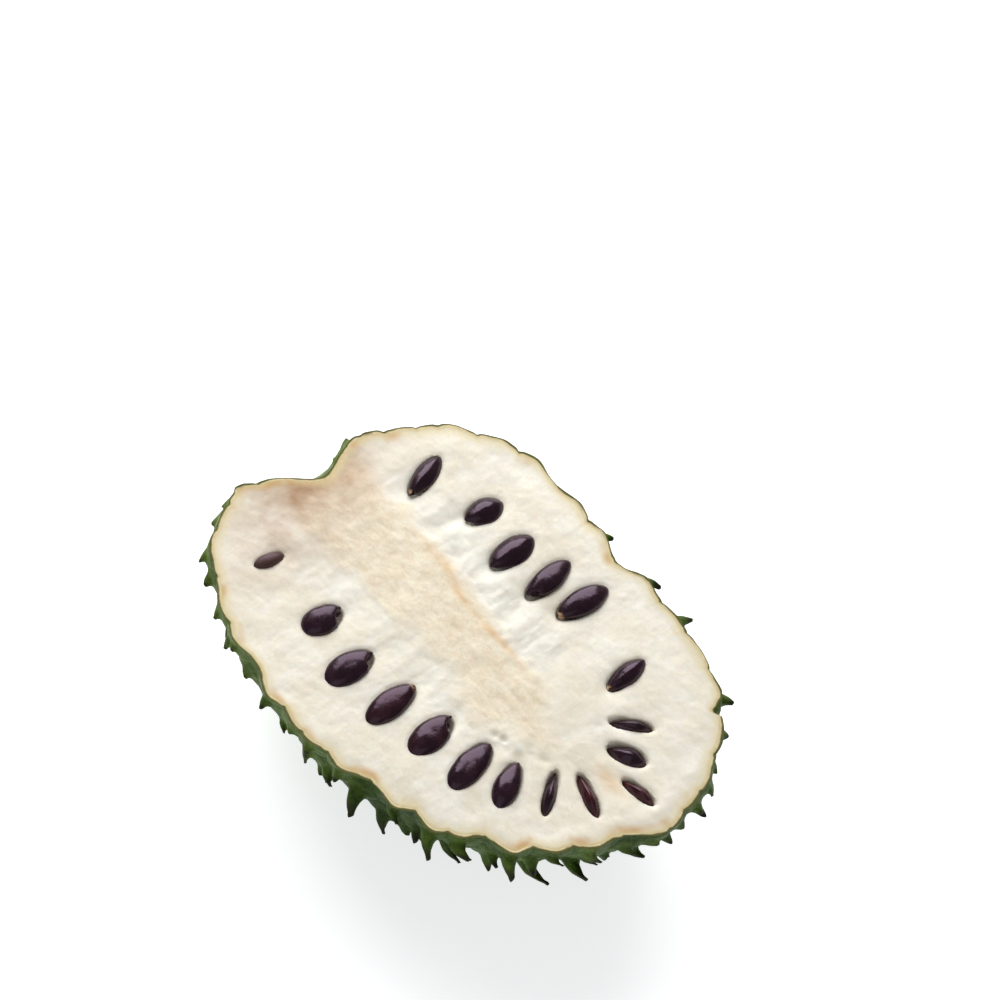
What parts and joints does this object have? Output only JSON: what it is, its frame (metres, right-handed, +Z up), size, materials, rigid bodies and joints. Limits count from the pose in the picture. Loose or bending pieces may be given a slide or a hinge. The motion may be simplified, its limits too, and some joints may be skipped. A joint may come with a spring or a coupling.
{
  "type": "halved soursop",
  "caption": "Half of a ripe soursop cut lengthwise: hook-spined green skin, creamy pulp and dark seeds in their sockets, lying on its back.",
  "frame": {"origin": "middle of the flat spot on the fruit's back that it rests on", "axes": "+X from the stem end to the tip of the fruit, +Z up, square out of the cut face"},
  "size_m": [0.1709, 0.1282, 0.0606],
  "materials": {
    "skin": "satin, dark to yellow green with brown spine points",
    "pulp": "moist, fibrous, creamy white",
    "seed": "glossy, near-black brown"
  },
  "bodies": {
    "root": {"skin": "skin", "pulp": "pulp", "seed_01": "seed", "seed_02": "seed", "seed_03": "seed", "seed_04": "seed", "seed_05": "seed", "seed_06": "seed", "seed_07": "seed", "seed_08": "seed", "seed_09": "seed", "seed_10": "seed", "seed_11": "seed", "seed_12": "seed", "seed_13": "seed", "seed_14": "seed", "seed_15": "seed", "seed_16": "seed", "seed_17": "seed", "seed_18": "seed"}
  },
  "joints": []
}
